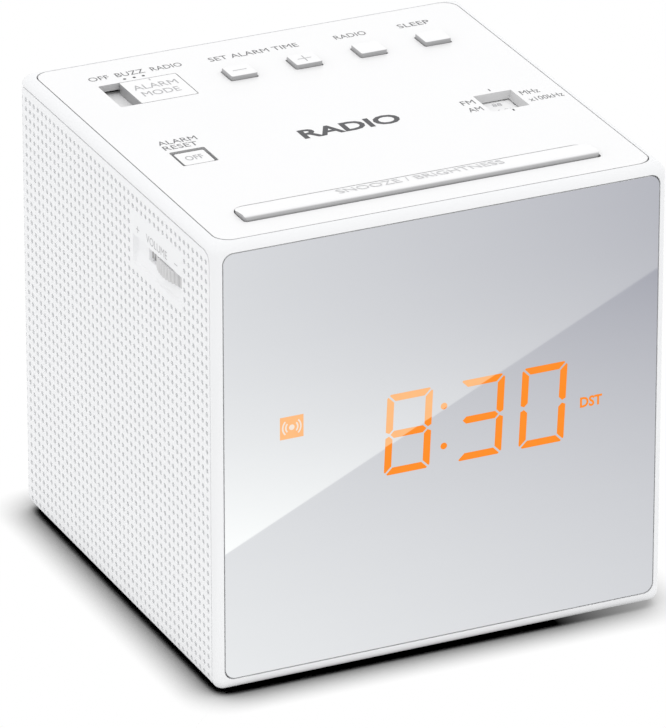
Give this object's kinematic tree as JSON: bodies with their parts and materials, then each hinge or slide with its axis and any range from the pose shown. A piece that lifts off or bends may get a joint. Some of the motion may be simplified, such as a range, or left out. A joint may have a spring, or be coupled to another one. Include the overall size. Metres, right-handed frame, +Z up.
{
  "type": "clock radio",
  "caption": "Cube-shaped white clock radio with a half-mirror front, lit orange time, top keys, snooze bar, tuning dial window and side thumbwheels.",
  "frame": {"origin": "middle of the cabinet's footprint, on the plane its feet stand on", "axes": "+X right, -Y front, +Z up"},
  "size_m": [0.1046, 0.1014, 0.103],
  "materials": {
    "white_case": "fine matt moulded ABS",
    "white_top": "smooth satin moulded ABS",
    "white_key": "smooth satin moulded ABS",
    "half_mirror": "half-silvered acrylic, polished",
    "black_film": "matt black film",
    "light_bar": "lit orange light bars",
    "black_plastic": "moulded black plastic",
    "wheel_plastic": "knurled moulded ABS",
    "rubber": "soft rubber",
    "steel": "zinc-plated steel",
    "iron": "varnished iron laminations",
    "copper": "enamelled copper wire",
    "board": "glass-fibre board with green solder mask",
    "ferrite": "sintered ferrite",
    "paper": "pressed paper",
    "felt": "black felt",
    "aluminium": "plain sheet",
    "nickel": "nickel plate",
    "wire": "PVC insulated wire",
    "fuse_glass": "clear glass",
    "dial": "printed white disc"
  },
  "bodies": {
    "cabinet": {"cabinet_frame": "white_case", "mirror_panel": "half_mirror", "light_mask": "black_film", "top_panel": "white_top", "left_grille": "white_case", "right_grille": "white_case", "base_plate": "white_case", "rubber_feet": "rubber", "case_screws": "steel", "rear_cover": "white_case", "mains_gland": "black_plastic", "aerial_gland": "black_plastic", "cell_holder": "black_plastic", "coin_cell": "steel", "cell_contacts": "nickel", "rear_board": "board", "tact_switches": "black_plastic", "mode_switch_body": "steel", "volume_pot": "black_plastic", "tuning_capacitor": "black_plastic", "display_segments": "light_bar", "display_module": "black_plastic", "display_bracket": "black_plastic", "display_board": "board", "key_board": "board", "main_board": "board", "board_screws": "steel", "inner_wiring": "wire", "ferrite_rod": "ferrite", "aerial_coils": "copper", "rod_holders": "black_plastic", "board_parts": "black_plastic", "heatsink": "aluminium", "mains_fuse": "fuse_glass", "speaker_gasket": "felt", "speaker_basket": "steel", "speaker_cone": "paper", "speaker_magnet": "ferrite", "speaker_clamps": "steel", "transformer_core": "iron", "transformer_windings": "copper", "transformer_bracket": "steel"},
    "alarm_minus_key": {"alarm_minus_button": "white_key"},
    "alarm_plus_key": {"alarm_plus_button": "white_key"},
    "radio_key": {"radio_button": "white_key"},
    "sleep_key": {"sleep_button": "white_key"},
    "alarm_reset_key": {"alarm_reset_button": "white_key"},
    "snooze": {"snooze_bar": "white_key"},
    "snooze_switches": {"snooze_plungers": "black_plastic"},
    "alarm_mode": {"alarm_mode_slider": "white_key", "mode_switch_lever": "black_plastic"},
    "volume": {"volume_wheel": "wheel_plastic", "volume_spindle": "black_plastic"},
    "tuning": {"tuning_wheel": "wheel_plastic", "tuning_shaft": "black_plastic", "tuning_dial": "dial"},
    "time_set_key": {"time_set_button": "white_key"},
    "summer_time_key": {"summer_time_button": "white_key"},
    "battery_lid": {"battery_door": "white_case", "battery_door_screw": "steel"}
  },
  "joints": [
    {"name": "alarm_minus_press", "type": "slide", "parent": "cabinet", "child": "alarm_minus_key", "axis": [0, 0, -1], "range_m": [0, 0.0005], "stiffness_N_per_m": 4000},
    {"name": "alarm_plus_press", "type": "slide", "parent": "cabinet", "child": "alarm_plus_key", "axis": [0, 0, -1], "range_m": [0, 0.0005], "stiffness_N_per_m": 4000},
    {"name": "radio_press", "type": "slide", "parent": "cabinet", "child": "radio_key", "axis": [0, 0, -1], "range_m": [0, 0.0005], "stiffness_N_per_m": 4000},
    {"name": "sleep_press", "type": "slide", "parent": "cabinet", "child": "sleep_key", "axis": [0, 0, -1], "range_m": [0, 0.0005], "stiffness_N_per_m": 4000},
    {"name": "alarm_reset_press", "type": "slide", "parent": "cabinet", "child": "alarm_reset_key", "axis": [0, 0, -1], "range_m": [0, 0.0005], "stiffness_N_per_m": 4000},
    {"name": "snooze_press", "type": "hinge", "parent": "cabinet", "child": "snooze", "pos_m": [0, -0.0324, 0.099], "axis": [1, 0, 0], "range_deg": [0, 4.5], "stiffness_Nm_per_rad": 0.3},
    {"name": "snooze_switch_travel", "type": "slide", "parent": "cabinet", "child": "snooze_switches", "axis": [0, 0, -1], "range_m": [0, 0.00053]},
    {"name": "alarm_mode_slide", "type": "slide", "parent": "cabinet", "child": "alarm_mode", "axis": [-1, 0, 0], "range_m": [0, 0.004]},
    {"name": "volume_turn", "type": "hinge", "parent": "cabinet", "child": "volume", "pos_m": [-0.0383, -0.0265, 0.0872], "axis": [0, 0, 1], "range_deg": [-135, 135]},
    {"name": "tuning_turn", "type": "hinge", "parent": "cabinet", "child": "tuning", "pos_m": [0.0346, -0.0125, 0.0872], "axis": [0, 0, 1], "range_deg": [-10, 165]},
    {"name": "time_set_press", "type": "slide", "parent": "cabinet", "child": "time_set_key", "axis": [0, -1, 0], "range_m": [0, 0.0005], "stiffness_N_per_m": 4000},
    {"name": "summer_time_press", "type": "slide", "parent": "cabinet", "child": "summer_time_key", "axis": [0, -1, 0], "range_m": [0, 0.0005], "stiffness_N_per_m": 4000},
    {"name": "battery_lid_pull", "type": "slide", "parent": "cabinet", "child": "battery_lid", "axis": [0, 1, 0], "range_m": [0, 0.02]}
  ],
  "couplings": [
    {"joint": "snooze_switch_travel", "follows": "snooze_press", "m_per_rad": 0.00662}
  ]
}
